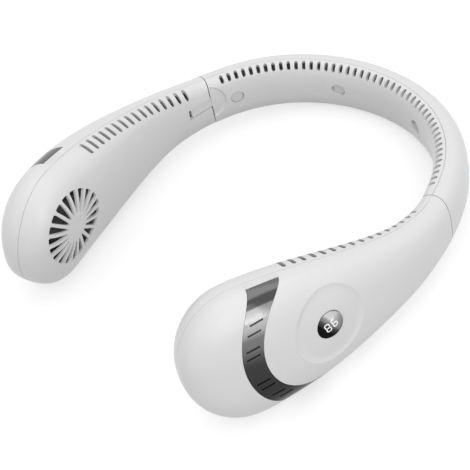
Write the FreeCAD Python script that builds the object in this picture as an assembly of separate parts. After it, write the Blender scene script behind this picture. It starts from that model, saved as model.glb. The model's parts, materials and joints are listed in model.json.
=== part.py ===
import FreeCAD, Part
import math
import os
from FreeCAD import Vector

# Electric neck fan: a slotted band round the neck, two hinged arms that swell into fan pods.
# Millimetres and degrees. +Z up, -Y towards the pod tips, X across; the part lies on z = 0.

# Plan line of one half, from the back of the neck to a pod tip, as three tangent arcs
BACK_R = 76.0
BACK_LEN = 79.0
SIDE_R = 103.0
SIDE_LEN = 64.0
POD_R = 322.0
POD_LEN = 102.0

# Section of the band and of the pod: height, bulge away from the neck, bulge towards it, lean
BAND_HEIGHT = 28.0
BAND_OUT = 9.0
BAND_IN = 7.0
BAND_LEAN = 2.5
POD_HEIGHT = 62.0
POD_OUT = 16.0
POD_IN = 17.5
POD_LEAN = 10.5
SKIN_POWER = 2.6

# Stations along the plan line where height and thickness grow from band to pod
RISE_START = 95.0
RISE_END = 220.0
SWELL_START = 104.0
SWELL_END = 202.0

# Underside arch between the three resting points, and the rounded pod tip
ARCH_RISE = 4.8
ARCH_LEN = 215.0
TIP_LEN = 29.0
TIP_HEIGHT_POWER = 2.0
TIP_WIDTH_POWER = 2.5

# Shells
WALL = 2.2
PARTING_GAP = 0.16
ROOM_GAP = 0.15
FIT_GAP = 0.1

# Hinge: station of the seam on the inner skin, station of the pin, swing clearances
SEAM_S = 103.0
PIN_S = 116.0
KNUCKLE_GAP = 0.4
PIN_R = 1.5
PIN_RUN = 0.05
EYE_R = 4.2
TONGUE_LIFT = 1.7
TONGUE_HEIGHT = 5.1
TONGUE_THICK = 3.0
TONGUE_SINK = 0.9
TONGUE_END = 1.6
TONGUE_TAIL = 9.0
NOTCH_GAP = 0.4
NOTCH_END = 1.8
SWING_OPEN = 4.8
WASHER_THICK = 0.5
EAR_THICK = 2.0
EAR_LEN = 10.5
BRACKET_BACK = 5.2
PIN_HEAD_R = 2.4
PIN_HEAD = 0.7
SCOOP_R = 9.4
SCOOP_LIFT = 2.7
SCOOP_EDGE = 0.5

# Air slots on the top inner edge
SLOT_WIDTH = 1.9
SLOT_EDGE = 1.3
SLOT_RIM = 0.7
SLOT_DEPTH = 5.0
BAND_SLOTS = 46
BAND_SLOT_PITCH = 4.1
BAND_SLOT_REACH = 5.2
BAND_SLOT_TILT = 60.0
ARM_SLOTS = 16
ARM_SLOT_START = 114.4
ARM_SLOT_PITCH = 4.83
ARM_SLOT_REACH = 6.2
ARM_SLOT_GROWTH = 2.6
ARM_SLOT_TILT = 0.0

# Screw wells in the inner face of the band
WELL_STATIONS = (28.5, 86.4)
WELL_LIFT = 1.0
WELL_R = 3.6
WELL_WALL = 1.2
WELL_DEPTH = 4.6
WELL_FLOOR = 1.4
PLUG_SINKS = (1.3, 0.3)
PLUG_THICK = 1.4
SCREW_R = 0.95
SCREW_HEAD_R = 1.9
SCREW_HEAD = 1.2
SCREW_LEN = 6.0
POST_R = 2.6

# Fan: axis station and height, intake grille, impeller
FAN_S = 218.5
FAN_LIFT = 6.8
GRILLE_R = 18.3
GRILLE_HUB_R = 7.6
GRILLE_SLOTS = 20
GRILLE_RIB = 1.75
GRILLE_TIP = 0.64
GRILLE_THICK = 1.1
GRILLE_CORNER = 0.8
IMPELLER_R = 17.0
BLADES = 24
BLADE_THICK = 0.8
BLADE_SWEEP = 26.0
BLADE_HEIGHT = 6.4
PLATE_THICK = 1.0
HUB_WALL = 1.1
HUB_DOME = 1.4

# Motor
SHAFT_R = 1.0
SHAFT_RUN = 0.03
SHAFT_END = 0.1
BUSH_R = 2.5
TUBE_WALL = 1.0
POLES = 6
POLE_WIDTH = 1.4
STATOR_R = 7.6
STATOR_FROM = -1.2
STATOR_STACK = 4.4
SHOE = 0.8
COIL_SIDE = 1.0
AIR_GAP = 0.4
MAGNET_THICK = 0.8
CAN_WALL = 0.6
MOTOR_LEN = 6.4
MOTOR_END = 1.0
MOUNT_THICK = 1.6
MOUNT_DEPTH = 3.0
MOUNT_POSTS = 3
MOUNT_POST_R = 14.0
SCROLL_R = 19.4
SCROLL_WALL = 1.2
SCROLL_HEIGHT = 11.0
OUTLET_HALF_ANGLE = 42.0

# Outer face: dish, display button and trim strip
DISH_S = 182.0
DISH_LIFT = 2.7
DISH_R = 17.6
DISH_BEVEL = 2.6
DISH_DEPTH = 0.9
LENS_R = 6.3
LENS_DOME = 1.3
LENS_PROUD = 0.3
LENS_GAP = 0.15
FLANGE_R = 7.6
FLANGE_THICK = 1.0
FLANGE_GAP = 0.2
FLANGE_ROOM = 0.3
WINDOW_R = 4.6
BUTTON_TRAVEL = 0.5
STRIP_LIFT = 3.8
STRIP_NEAR_S = 187.3
STRIP_NEAR_R = 26.6
STRIP_FAR_S = 188.6
STRIP_FAR_R = 34.9
STRIP_THICK = 1.0
STRIP_GAP = 0.12
STRIP_GLUE = 0.08
SLIT_LEN = 6.2
SLIT_WIDTH = 0.8
SLIT_PAIR = 3.6
SLIT_OFFSETS = (-18.8, -8.8, 8.8, 18.8)

# Boards, switch, display and charging socket
BOARD_DEPTH = 7.4
BOARD_THICK = 1.2
BOARD_LEN = 36.0
BOARD_HEIGHT = 22.0
BOARD_SHIFT = -3.0
BOARD_POST_INSET = 3.0
TAB_WIDTH = 13.0
TAB_DROP = 9.0
SWITCH_SIDE = 4.5
SWITCH_HEIGHT = 2.0
SWITCH_OFFSET = 6.2
STEM_R = 1.0
STEM_HEIGHT = 1.0
DISPLAY_LEN = 8.0
DISPLAY_HEIGHT = 5.5
DISPLAY_DEPTH = 4.0
SOCKET_S = 167.0
SOCKET_WIDTH = 8.94
SOCKET_THICK = 3.26
SOCKET_LEN = 7.35
SOCKET_WALL = 0.4
SOCKET_SINK = 1.1
SOCKET_GAP = 0.25

# Battery cell and its tray
CELL_S = 146.0
CELL_LEN = 36.0
CELL_HEIGHT = 20.0
CELL_THICK = 8.0
CELL_ROUND = 2.5
TRAY_THICK = 1.0
TRAY_RIBS = 3
RIB_THICK = 1.5
RIB_PITCH = 9.0

# Wire loom along the bottom of the band
LOOM_R = 1.1
LOOM_END = 78.0

HALF_LEN = BACK_LEN + SIDE_LEN + POD_LEN
TIP_START = HALF_LEN - TIP_LEN
FAR = 60.0
TINY = 1e-6


# Plan line, section sizes and section frames

def plan_turn(s):
    """x, y and angle turned after distance s from the back of the neck, back at y = 0."""
    x = y = turned = 0.0
    left = s
    for radius, length in ((BACK_R, BACK_LEN), (SIDE_R, SIDE_LEN), (POD_R, POD_LEN)):
        step = min(left, length)
        after = turned + step / radius
        x += radius * (math.sin(after) - math.sin(turned))
        y += radius * (math.cos(after) - math.cos(turned))
        turned = after
        left -= step
    return x, y, turned


def growth(s, start, end):
    """Smooth step from 0 at start to 1 at end."""
    t = min(1.0, max(0.0, (s - start) / (end - start)))
    return t * t * (3.0 - 2.0 * t)


def section_size(s):
    """Height, outward bulge, inward bulge and lean in radians, before the tip is rounded."""
    rise = growth(s, RISE_START, RISE_END)
    swell = growth(s, SWELL_START, SWELL_END)
    height = BAND_HEIGHT + (POD_HEIGHT - BAND_HEIGHT) * rise
    out = BAND_OUT + (POD_OUT - BAND_OUT) * swell
    inn = BAND_IN + (POD_IN - BAND_IN) * swell
    return height, out, inn, math.radians(BAND_LEAN + (POD_LEAN - BAND_LEAN) * swell)


def reach(half_width, half_height, across, along):
    """How far a superellipse reaches in a direction given by its two components."""
    q = SKIN_POWER / (SKIN_POWER - 1.0)
    return (abs(half_width * across) ** q + abs(half_height * along) ** q) ** (1.0 / q)


def centre_height(s):
    """Height of the section centre, so that its lowest point follows the underside."""
    height, out, inn, lean = section_size(s)
    low = reach(inn, height / 2, math.sin(lean), math.cos(lean))
    return low + ARCH_RISE * math.sin(math.pi * min(1.0, s / ARCH_LEN)) ** 2


def tip_factors(s, inset=0.0):
    """Share of height and of width that is left in the rounded pod tip."""
    d = min(1.0, max(0.0, (s - TIP_START) / (TIP_LEN - inset)))
    tall = (1.0 - d ** TIP_HEIGHT_POWER) ** (1.0 / TIP_HEIGHT_POWER)
    wide = (1.0 - d ** TIP_WIDTH_POWER) ** (1.0 / TIP_WIDTH_POWER)
    return tall, wide


def box_middle_y():
    """Middle of the part's box along Y, while the back of the plan line is at y = 0."""
    height, out, inn, lean = section_size(0.0)
    back = reach(out, height / 2, math.cos(lean), math.sin(lean))
    front = 0.0
    for step in range(101):
        s = TIP_START + TIP_LEN * step / 100.0
        y, turned = plan_turn(s)[1:]
        height, out, inn, lean = section_size(s)
        tall, wide = tip_factors(s)
        away = math.cos(turned)
        side = out if away < 0 else inn
        bulge = reach(side * wide, tall * height / 2, away * math.cos(lean), away * math.sin(lean))
        front = min(front, y - bulge)
    return (back + front) / 2


BACK_Y = -box_middle_y()


def station(s, lean_on=True):
    """Placement at station s: x along the plan line, y up the section, z towards the neck.

    Negative stations are on the left half of the band."""
    x, y, turned = plan_turn(abs(s))
    if s < 0:
        x, turned = -x, -turned
    lean = section_size(abs(s))[3] if lean_on else 0.0
    along = Vector(math.cos(turned), -math.sin(turned), 0)
    outward = Vector(math.sin(turned), math.cos(turned), 0)
    up = Vector(0, 0, math.cos(lean)) - outward * math.sin(lean)
    inward = along.cross(up)
    c = Vector(x, y + BACK_Y, centre_height(abs(s)))
    return FreeCAD.Placement(FreeCAD.Matrix(
        along.x, up.x, inward.x, c.x,
        along.y, up.y, inward.y, c.y,
        along.z, up.z, inward.z, c.z,
        0, 0, 0, 1))


def put(shape, place):
    """A copy of a shape built in local coordinates, set on a placement."""
    moved = shape.copy()
    moved.Placement = place.multiply(moved.Placement)
    return moved


def lifted(place, along, up, inward):
    """A placement shifted by amounts along its own axes."""
    return place.multiply(FreeCAD.Placement(Vector(along, up, inward), FreeCAD.Rotation()))


# Skins: lofts through superellipse sections

CURVE_ANGLES = (-90, -80, -66, -45, -22, 0, 22, 45, 66, 80, 90)
TIP_ANGLES = (20, 38, 54, 67, 78, 85)
ARM_STEPS = 10
BAND_STEPS = 6
RECESS_POINTS = 24
SLOT_FACETS = 4
OUTER, INNER = -1, 1


def unit_half():
    """Points of a superellipse half with both half axes 1, from the lowest to the highest."""
    points = []
    for angle in CURVE_ANGLES:
        a = math.radians(angle)
        across = max(0.0, math.cos(a)) ** (2.0 / SKIN_POWER)
        up = math.copysign(abs(math.sin(a)) ** (2.0 / SKIN_POWER), math.sin(a))
        points.append((across, up))
    return points


def curve_parameters(points):
    """Length along the outline at its points, the same for every section."""
    total = [0.0]
    for (x0, y0), (x1, y1) in zip(points, points[1:]):
        total.append(total[-1] + math.hypot(x1 - x0, y1 - y0))
    return total


UNIT_HALF = unit_half()
UNIT_PARAMETERS = curve_parameters(UNIT_HALF)


def half_curve(s, side, inset, shift):
    """One half of the section outline: the outer half runs upwards, the inner half downwards."""
    height, out, inn, lean = section_size(abs(s))
    tall, wide = tip_factors(abs(s), inset)
    half = -side * tall * (height / 2 - inset)
    bulge = side * wide * ((out if side == OUTER else inn) - inset)
    place = station(s)
    points = []
    for across, up in UNIT_HALF:
        points.append(place.multVec(Vector(0, half * up, bulge * across + shift)))
    curve = Part.BSplineCurve()
    curve.interpolate(Points=points, Parameters=UNIT_PARAMETERS)
    return curve.toShape(), points


def half_wire(s, side):
    """Closed outline of one half section, a little off the parting plane."""
    curve, points = half_curve(s, side, 0.0, side * PARTING_GAP / 2)
    return Part.Wire([curve, Part.LineSegment(points[-1], points[0]).toShape()])


def whole_wire(s, inset):
    """Closed outline of a whole section, moved in by inset."""
    outer = half_curve(s, OUTER, inset, 0.0)[0]
    inner = half_curve(s, INNER, inset, 0.0)[0]
    return Part.Wire(Part.sortEdges([outer, inner])[0])


def arm_stations(inset, start):
    """Stations of the arm from a start near the hinge to just short of the tip."""
    even = [start + (TIP_START - start) * k / ARM_STEPS for k in range(ARM_STEPS + 1)]
    tip = [TIP_START + (TIP_LEN - inset) * math.sin(math.radians(a)) for a in TIP_ANGLES]
    return even + tip


def tip_vertex(inset):
    """The point that closes the pod."""
    return Part.Vertex(station(HALF_LEN - inset).Base)


def arm_skin(inset, start):
    """Solid of the whole arm and pod, moved in by inset."""
    wires = [whole_wire(s, inset) for s in arm_stations(inset, start)]
    return Part.makeLoft(wires + [tip_vertex(inset)], True, False)


def arm_half(side):
    """Solid half of the arm and pod on one side of the parting plane."""
    wires = [half_wire(s, side) for s in arm_stations(0.0, ARM_FROM)]
    shift = Vector(0, 0, side * PARTING_GAP / 2)
    tip = Part.Vertex(station(HALF_LEN).multVec(shift))
    return Part.makeLoft(wires + [tip], True, False)


def band_stations(last):
    """Even stations of the band, from its left end to its right end."""
    return [last * k / BAND_STEPS for k in range(-BAND_STEPS, BAND_STEPS + 1)]


def band_skin(inset, last):
    """Solid of the whole band, moved in by inset."""
    return Part.makeLoft([whole_wire(s, inset) for s in band_stations(last)], True, False)


def band_half(side):
    """Solid half of the band on one side of the parting plane."""
    wires = [half_wire(s, side) for s in band_stations(SEAM_S + WALL)]
    return Part.makeLoft(wires, True, False)


# Small solids in local coordinates: x along, y up, z towards the neck

def block(x0, x1, y0, y1, z0, z1):
    """Box between two corners."""
    return Part.makeBox(x1 - x0, y1 - y0, z1 - z0, Vector(x0, y0, z0))


def rod(radius, z0, z1, x=0.0, y=0.0):
    """Round bar along z."""
    return Part.makeCylinder(radius, z1 - z0, Vector(x, y, z0))


def ring(outer, inner, z0, z1):
    """Round tube along z."""
    return rod(outer, z0, z1).cut(rod(inner, z0 - 1, z1 + 1))


def turned(profile):
    """Solid of revolution about z from (radius, z) corners."""
    corners = [Vector(r, 0, z) for r, z in profile]
    face = Part.Face(Part.makePolygon(corners + corners[:1]))
    return face.revolve(Vector(0, 0, 0), Vector(0, 0, 1), 360)


def stadium(length, width, depth):
    """Prism along y with faceted round ends, its length along z from 0 outwards."""
    r = width / 2
    corners = []
    for end, turn in ((length - r, 0.0), (r, math.pi)):
        for k in range(SLOT_FACETS + 1):
            a = turn + math.pi * k / SLOT_FACETS
            corners.append(Vector(r * math.cos(a), 0, end + r * math.sin(a)))
    return Part.Face(Part.makePolygon(corners + corners[:1])).extrude(Vector(0, depth, 0))


def around(shape, count, first=0.0):
    """Copies of a shape spaced evenly about z."""
    copies = []
    for k in range(count):
        copy = shape.copy()
        copy.rotate(Vector(0, 0, 0), Vector(0, 0, 1), first + 360.0 * k / count)
        copies.append(copy)
    return copies


def mirrored(shape):
    """The same piece on the left half."""
    return shape.mirror(Vector(0, 0, 0), Vector(1, 0, 0))


# Hinge geometry, about a vertical pin

SEAM_HALF = (BAND_OUT + BAND_IN) / 2
KNUCKLE_R = math.hypot(PIN_S - SEAM_S, SEAM_HALF)
ARM_FROM = PIN_S - KNUCKLE_R - 2 * WALL
ROOM_FROM = SEAM_S + WALL
BAND_ROOM_TO = PIN_S - KNUCKLE_R - KNUCKLE_GAP - WALL
PIN_PLACE = station(PIN_S, lean_on=False)
TONGUE_PLACE = lifted(PIN_PLACE, 0, TONGUE_LIFT, 0)
TONGUE_FACE = BAND_IN - TONGUE_SINK + (PIN_S - SEAM_S) ** 2 / (2 * SIDE_R)
TONGUE_BACK = TONGUE_FACE - TONGUE_THICK
HALF_TONGUE = TONGUE_HEIGHT / 2


def upright(radius, y0, y1):
    """Round bar along the hinge pin."""
    return Part.makeCylinder(radius, y1 - y0, Vector(0, y0, 0), Vector(0, 1, 0))


def behind_knuckle(radius):
    """Everything on the band side of a knuckle of this radius."""
    return block(-FAR, 0, -FAR, FAR, -FAR, FAR).cut(upright(radius, -FAR, FAR))


def hinge_lug():
    """Tongue fixed in the band end, with the eye that turns on the pin."""
    tail = -(PIN_S - SEAM_S) - TONGUE_TAIL
    strip = block(tail, -TONGUE_END, -HALF_TONGUE, HALF_TONGUE, TONGUE_BACK, TONGUE_FACE)
    web = block(-2 * EYE_R, -TONGUE_END, -HALF_TONGUE, HALF_TONGUE, 0, TONGUE_BACK)
    eye = upright(EYE_R, -HALF_TONGUE, HALF_TONGUE)
    lug = eye.fuse([strip, web]).cut(upright(PIN_R + PIN_RUN, -FAR, FAR))
    return put(lug.removeSplitter(), TONGUE_PLACE)


def lug_pocket():
    """Room for the tail of the lug in the band end."""
    tail = -(PIN_S - SEAM_S) - TONGUE_TAIL - FIT_GAP
    half = HALF_TONGUE + FIT_GAP
    pocket = block(tail, 0, -half, half, TONGUE_BACK - FIT_GAP, TONGUE_FACE + FIT_GAP)
    return put(pocket, TONGUE_PLACE)


def tongue_notch():
    """Opening in the arm for the tongue: a window in the inner skin and in the knuckle end."""
    half = HALF_TONGUE + NOTCH_GAP
    window = block(-KNUCKLE_R - 1, NOTCH_END - TONGUE_END, -half, half, TONGUE_BACK - NOTCH_GAP, FAR)
    swing = block(-KNUCKLE_R - 1, ROOM_FROM - PIN_S + WALL, -half, half, -SWING_OPEN, FAR)
    return [put(window, TONGUE_PLACE), put(swing, TONGUE_PLACE)]


EAR_FROM = HALF_TONGUE + WASHER_THICK + PIN_RUN
EAR_TO = EAR_FROM + EAR_THICK


def hinge_bracket(room):
    """Two ears that hold the pin, joined by a back that lies on the outer shell."""
    pieces = []
    for sign in (-1, 1):
        y0, y1 = sorted((sign * EAR_FROM, sign * EAR_TO))
        pieces.append(block(-EYE_R, EAR_LEN - EYE_R, y0, y1, -FAR / 2, 0))
        pieces.append(upright(EYE_R, y0, y1))
    pieces.append(block(-EYE_R, EAR_LEN - EYE_R, -EAR_TO, EAR_TO, -FAR / 2, -BRACKET_BACK))
    bracket = pieces[0].fuse(pieces[1:]).cut(upright(PIN_R, -FAR, FAR))
    return put(bracket.removeSplitter(), TONGUE_PLACE).common(room)


def hinge_pin():
    """Pin with a flat head."""
    pin = upright(PIN_R, -EAR_TO - PIN_HEAD, EAR_TO)
    head = upright(PIN_HEAD_R, EAR_TO, EAR_TO + PIN_HEAD)
    return put(pin.fuse(head).removeSplitter(), TONGUE_PLACE)


def hinge_washers():
    """Friction washers between the ears and the eye."""
    washer = upright(EYE_R, 0, WASHER_THICK).cut(upright(PIN_R + PIN_RUN, -1, WASHER_THICK + 1))
    pair = []
    for lift in (EAR_FROM - WASHER_THICK, -EAR_FROM):
        pair.append(put(washer, lifted(TONGUE_PLACE, 0, lift, 0)))
    return Part.makeCompound(pair)


# Air slots

def skin_up(s, inward):
    """Height of the inner skin over the section centre, at a distance from the parting plane."""
    height, out, inn, lean = section_size(abs(s))
    return height / 2 * (1.0 - (inward / inn) ** SKIN_POWER) ** (1.0 / SKIN_POWER)


def slot_cutter(s, slot_end, tilt):
    """Round-ended slot through the top inner edge, its cut tilted from upright towards the neck."""
    t = math.radians(tilt)
    first = SLOT_EDGE * math.cos(t) - skin_up(s, SLOT_EDGE) * math.sin(t)
    last = slot_end * math.cos(t) - skin_up(s, slot_end) * math.sin(t)
    depth = slot_end * math.sin(t) + skin_up(s, slot_end) * math.cos(t) - SLOT_DEPTH
    turn = FreeCAD.Placement(Vector(0, 0, 0), FreeCAD.Rotation(Vector(1, 0, 0), tilt))
    prism = put(put(stadium(last - first, SLOT_WIDTH, FAR), lifted(turn, 0, depth, first)), station(s))
    return prism.common(put(block(-FAR, FAR, -FAR, FAR, SLOT_RIM, FAR), station(s)))


def band_slot_cutters():
    """Even row round the band."""
    first = -BAND_SLOT_PITCH * (BAND_SLOTS - 1) / 2
    stations = [first + BAND_SLOT_PITCH * k for k in range(BAND_SLOTS)]
    return [slot_cutter(s, BAND_SLOT_REACH, BAND_SLOT_TILT) for s in stations]


def arm_slot_cutters():
    """Row along the arm, longer towards the pod."""
    cutters = []
    for k in range(ARM_SLOTS):
        slot_end = ARM_SLOT_REACH + ARM_SLOT_GROWTH * k / (ARM_SLOTS - 1)
        cutters.append(slot_cutter(ARM_SLOT_START + ARM_SLOT_PITCH * k, slot_end, ARM_SLOT_TILT))
    return cutters


# Recesses that follow the skin

def skin_depth(s, place, x, y, side):
    """Local z of the skin at a spot x, y of a placement near station s."""
    along, up = s + x, y
    for step in range(8):
        height, out, inn, lean = section_size(along)
        bulge = side * (out if side == OUTER else inn)
        across = (1.0 - abs(2 * up / height) ** SKIN_POWER) ** (1.0 / SKIN_POWER)
        spot = station(along).multVec(Vector(0, up, bulge * across))
        local = place.inverse().multVec(spot)
        along += x - local.x
        up += y - local.y
    return local.z


def skin_recess(s, lift, side, rings, floor_skin):
    """Cutter for a round recess of even depth with a soft edge.

    The rings are pairs of radius and depth under the skin, from the rim to the floor."""
    place = lifted(station(s), 0, lift, 0)
    wires = [Part.Wire(put(Part.makeCircle(rings[0][0], Vector(0, 0, side * FAR)), place).Edges)]
    for radius, drop in rings:
        points = []
        for k in range(RECESS_POINTS):
            a = 2 * math.pi * k / RECESS_POINTS
            x, y = radius * math.cos(a), radius * math.sin(a)
            z = skin_depth(s, place, x, y, side) - side * drop
            points.append(place.multVec(Vector(x, y, z)))
        curve = Part.BSplineCurve()
        curve.interpolate(Points=points, PeriodicFlag=True)
        wires.append(Part.Wire(curve.toShape()))
    wires.append(Part.Wire(put(Part.makeCircle(rings[-1][0], Vector(0, 0, 0)), place).Edges))
    return Part.makeLoft(wires, True, True).cut(floor_skin)


# Band

WELL_SEAT = BAND_IN - WELL_DEPTH
POST_END = WELL_SEAT - WELL_FLOOR - FIT_GAP


def well_places(s):
    """Placements of the left and the right screw well at a station."""
    return [lifted(station(sign * s), 0, WELL_LIFT, 0) for sign in (-1, 1)]


def band_screw(place):
    """Pan-head screw that pulls the inner shell to a post of the outer shell."""
    head = rod(SCREW_HEAD_R, WELL_SEAT, WELL_SEAT + SCREW_HEAD)
    shank = rod(SCREW_R, WELL_SEAT - SCREW_LEN, WELL_SEAT)
    return put(head.fuse(shank).removeSplitter(), place)


def well_plug(place, sink):
    """Plug in the mouth of a screw well, sunk below the skin."""
    top = BAND_IN - sink
    low = top - PLUG_THICK
    chamfer = PLUG_THICK / 3
    r = WELL_R - FIT_GAP
    return put(turned([(0, low), (r, low), (r, top - chamfer), (r - chamfer, top), (0, top)]), place)


def build_band():
    """Shells, fasteners, hinge lugs and wire loom of the neck band."""
    places = [place for s in WELL_STATIONS for place in well_places(s)]
    keep_out = put(upright(KNUCKLE_R + KNUCKLE_GAP, -FAR, FAR), PIN_PLACE)
    posts = [put(rod(POST_R, -FAR / 4, POST_END), place) for place in places]
    wells = [put(rod(WELL_R + WELL_WALL, POST_END + FIT_GAP, FAR / 4), place) for place in places]
    hollow = band_skin(WALL, BAND_ROOM_TO)
    ends = [keep_out, mirrored(keep_out)]
    pockets = [lug_pocket(), mirrored(lug_pocket())]

    outer = band_half(OUTER).cut(hollow.cut(posts)).cut(ends + pockets)
    pilot = rod(SCREW_R + PIN_RUN, -SCREW_LEN, WELL_SEAT + 1)
    pilots = [put(pilot, place) for place in places]
    outer = outer.cut(pilots)

    inner = band_half(INNER).cut(hollow.cut(wells)).cut(ends + pockets)
    bores = [put(rod(WELL_R, WELL_SEAT, FAR / 4), place) for place in places]
    floor = band_skin(TONGUE_SINK, SEAM_S + WALL)
    rings = [(SCOOP_R + SCOOP_EDGE, -TONGUE_SINK), (SCOOP_R - SCOOP_EDGE, TONGUE_SINK + FIT_GAP)]
    scoop = skin_recess(SEAM_S, SCOOP_LIFT, INNER, rings, floor)
    inner = inner.cut(bores + pilots + [scoop, mirrored(scoop)]).cut(band_slot_cutters())

    plugs = []
    for s, sink in zip(WELL_STATIONS, PLUG_SINKS):
        plugs += [well_plug(place, sink) for place in well_places(s)]
    lug = hinge_lug()
    return {
        "band_outer_shell": outer,
        "band_inner_shell": inner,
        "band_screws": Part.makeCompound([band_screw(place) for place in places]),
        "screw_plugs": Part.makeCompound(plugs),
        "hinge_lug_right": lug,
        "hinge_lug_left": mirrored(lug),
        "wire_loom": wire_loom(),
    }


def wire_loom():
    """Bundle of wires lying along the bottom of the band."""
    up = -(BAND_HEIGHT / 2 - WALL - 4 * FIT_GAP - LOOM_R)
    points = [station(LOOM_END * k / 4.0).multVec(Vector(0, up, 0)) for k in range(-4, 5)]
    line = Part.BSplineCurve()
    line.interpolate(Points=points)
    along = line.tangent(line.FirstParameter)[0]
    mouth = Part.Wire(Part.makeCircle(LOOM_R, points[0], along))
    return Part.Wire(line.toShape()).makePipeShell([mouth], True, False)


# Fan and motor, about the fan axis

FAN_PLACE = lifted(station(FAN_S), 0, FAN_LIFT, 0)
PLATE_BACK = -PLATE_THICK
CAN_R = STATOR_R + AIR_GAP + MAGNET_THICK + CAN_WALL
HUB_R = CAN_R + HUB_WALL
TUBE_R = BUSH_R + TUBE_WALL


def grille_cutters():
    """Tapered radial slots with eased outer corners."""
    pitch = 2 * math.pi / GRILLE_SLOTS
    r0, r1 = GRILLE_HUB_R, GRILLE_R
    w0, w1 = GRILLE_TIP / 2, (r1 * pitch - GRILLE_RIB) / 2
    c = GRILLE_CORNER
    half = [(r0, w0), (r1 - c, w1), (r1 - 0.3 * c, w1 - 0.3 * c), (r1, w1 - c)]
    corners = [Vector(x, y, 0) for x, y in half] + [Vector(x, -y, 0) for x, y in reversed(half)]
    wedge = Part.Face(Part.makePolygon(corners + corners[:1])).extrude(Vector(0, 0, FAR / 2))
    return [put(cutter, FAN_PLACE) for cutter in around(wedge, GRILLE_SLOTS)]


def grille_pocket():
    """Room behind the grille that leaves its ribs thinner than the wall."""
    return arm_skin(GRILLE_THICK, ROOM_FROM).common(put(rod(GRILLE_R + WALL, 0, FAR / 2), FAN_PLACE))


def blade_outline():
    """Corners of one swept blade, seen along the fan axis."""
    inner_r = HUB_R - HUB_WALL / 2
    tip_r = IMPELLER_R - BLADE_THICK
    middle = []
    for k in range(5):
        share = k / 4.0
        radius = inner_r + (tip_r - inner_r) * share
        a = math.radians(BLADE_SWEEP) * share ** 1.5
        middle.append(Vector(radius * math.cos(a), radius * math.sin(a), 0))
    right, left = [], []
    for k, spot in enumerate(middle):
        run = middle[min(k + 1, 4)] - middle[max(k - 1, 0)]
        off = Vector(-run.y, run.x, 0).normalize() * (BLADE_THICK / 2)
        left.append(spot + off)
        right.append(spot - off)
    return right + left[::-1]


def impeller():
    """Centrifugal wheel: cup hub, back plate and swept blades."""
    front = MOTOR_LEN + CAN_WALL
    hub = turned([
        (CAN_R, PLATE_BACK), (IMPELLER_R, PLATE_BACK), (IMPELLER_R, 0), (HUB_R, 0),
        (HUB_R, front), (HUB_R - HUB_WALL, front + HUB_WALL), (HUB_R / 2, front + HUB_DOME),
        (0, front + HUB_DOME), (0, front), (CAN_R, front),
    ])
    corners = blade_outline()
    blade = Part.Face(Part.makePolygon(corners + corners[:1]))
    blade = blade.extrude(Vector(0, 0, BLADE_HEIGHT + PLATE_THICK / 2))
    blade.translate(Vector(0, 0, -PLATE_THICK / 2))
    return put(hub.fuse(around(blade, BLADES)), FAN_PLACE)


def rotor_can():
    """Steel cup of the rotor, pressed on the shaft."""
    can = rod(CAN_R, STATOR_FROM, MOTOR_LEN + CAN_WALL)
    can = can.cut([rod(CAN_R - CAN_WALL, STATOR_FROM - 1, MOTOR_LEN), rod(SHAFT_R, 0, FAR)])
    return put(can, FAN_PLACE)


def magnet_ring():
    """Ring magnet inside the cup."""
    outer = CAN_R - CAN_WALL
    return put(ring(outer, outer - MAGNET_THICK, STATOR_FROM, MOTOR_LEN - MOTOR_END), FAN_PLACE)


def motor_shaft():
    """Shaft from just over the mount to the top of the cup."""
    return put(rod(SHAFT_R, SHAFT_END - MOUNT_DEPTH, MOTOR_LEN + CAN_WALL), FAN_PLACE)


def motor_bush():
    """Sleeve bearing in the tube of the mount."""
    return put(ring(BUSH_R, SHAFT_R + SHAFT_RUN, -MOUNT_DEPTH, MOTOR_LEN - MOTOR_END), FAN_PLACE)


def stator_top():
    """Inner end of the stator stack."""
    return STATOR_FROM + STATOR_STACK


def motor_stator():
    """Core with T-shaped poles."""
    top = stator_top()
    core = ring(TUBE_R + SHOE, TUBE_R + SHAFT_RUN, STATOR_FROM, top)
    half = POLE_WIDTH / 2
    pole = block(TUBE_R + SHOE / 2, STATOR_R - SHOE / 2, -half, half, STATOR_FROM, top)
    shoe_arc = ring(STATOR_R, STATOR_R - SHOE, STATOR_FROM, top)
    gap = block(0, STATOR_R + 1, -half, half, STATOR_FROM - 1, top + 1)
    shoes = shoe_arc.cut(around(gap, POLES, 180.0 / POLES))
    return put(core.fuse(around(pole, POLES) + [shoes]).removeSplitter(), FAN_PLACE)


def motor_coils():
    """Copper winding round each pole."""
    half = POLE_WIDTH / 2 + FIT_GAP / 2
    z0, z1 = STATOR_FROM - FIT_GAP / 2, stator_top() + FIT_GAP / 2
    grow = COIL_SIDE / 2
    x0 = TUBE_R + SHOE + FIT_GAP
    x1 = math.sqrt((STATOR_R - SHOE) ** 2 - (half + grow) ** 2) - FIT_GAP
    outside = block(x0, x1, -half - grow, half + grow, z0 - grow, z1 + grow)
    coil = outside.cut(block(x0 - 1, x1 + 1, -half, half, z0, z1))
    return put(Part.makeCompound(around(coil, POLES)), FAN_PLACE)


def mount_post_spots():
    """Places of the posts that carry the motor mount."""
    angles = [math.radians(90 + 360.0 * k / MOUNT_POSTS) for k in range(MOUNT_POSTS)]
    return [(MOUNT_POST_R * math.cos(a), MOUNT_POST_R * math.sin(a)) for a in angles]


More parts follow.
